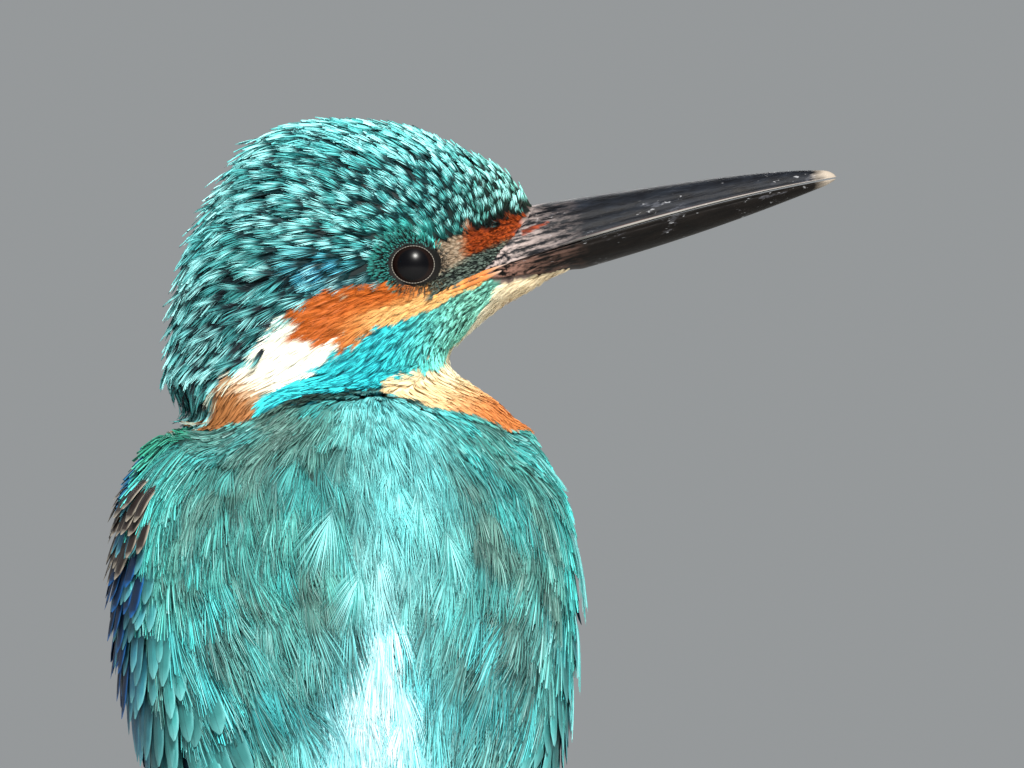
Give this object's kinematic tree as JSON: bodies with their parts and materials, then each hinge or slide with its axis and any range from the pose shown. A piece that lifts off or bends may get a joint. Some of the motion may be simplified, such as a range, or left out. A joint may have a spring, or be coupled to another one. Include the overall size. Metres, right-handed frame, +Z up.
{
  "type": "common kingfisher",
  "caption": "Life-size kingfisher with a long dagger bill, its head turned in profile, perched upright on a short cut branch on a plain round stand.",
  "frame": {"origin": "middle of the stand's flat underside", "axes": "+Z up, +X the way the bill points, -Y the side the bird's back is turned to"},
  "size_m": [0.1073, 0.096, 0.1597],
  "materials": {
    "head_plumage": "fine dark green-blue feathers with cyan tips",
    "neck_plumage": "soft white, orange and blue-green feathers",
    "body_plumage": "soft feathers, blue-green behind and orange in front",
    "wing_plumage": "smooth overlapping blue-green feathers with pale tips",
    "quills": "firm dark feathers with blue edges",
    "tail_plumage": "firm deep blue feathers",
    "bill": "smooth black horn with a soft shine",
    "eye": "wet dark brown",
    "foot_skin": "scaly orange-red skin",
    "claw": "dark horn",
    "bark": "dry bark with bare cut ends",
    "stand_metal": "satin",
    "stand_wood": "turned and waxed dark wood"
  },
  "bodies": {
    "root": {"head": "head_plumage", "neck": "neck_plumage", "trunk": "body_plumage", "wing_coverts_left": "wing_plumage", "wing_coverts_right": "wing_plumage", "wing_quills_left": "quills", "wing_quills_right": "quills", "tail": "tail_plumage", "bill_upper": "bill", "bill_lower": "bill", "eye_left": "eye", "eye_right": "eye", "leg_left": "foot_skin", "leg_right": "foot_skin", "foot_left": "foot_skin", "foot_right": "foot_skin", "claw_left_inner": "claw", "claw_left_middle": "claw", "claw_left_outer": "claw", "claw_left_hind": "claw", "claw_right_inner": "claw", "claw_right_middle": "claw", "claw_right_outer": "claw", "claw_right_hind": "claw", "perch": "bark", "stand_rod": "stand_metal", "stand_base": "stand_wood"}
  },
  "joints": []
}
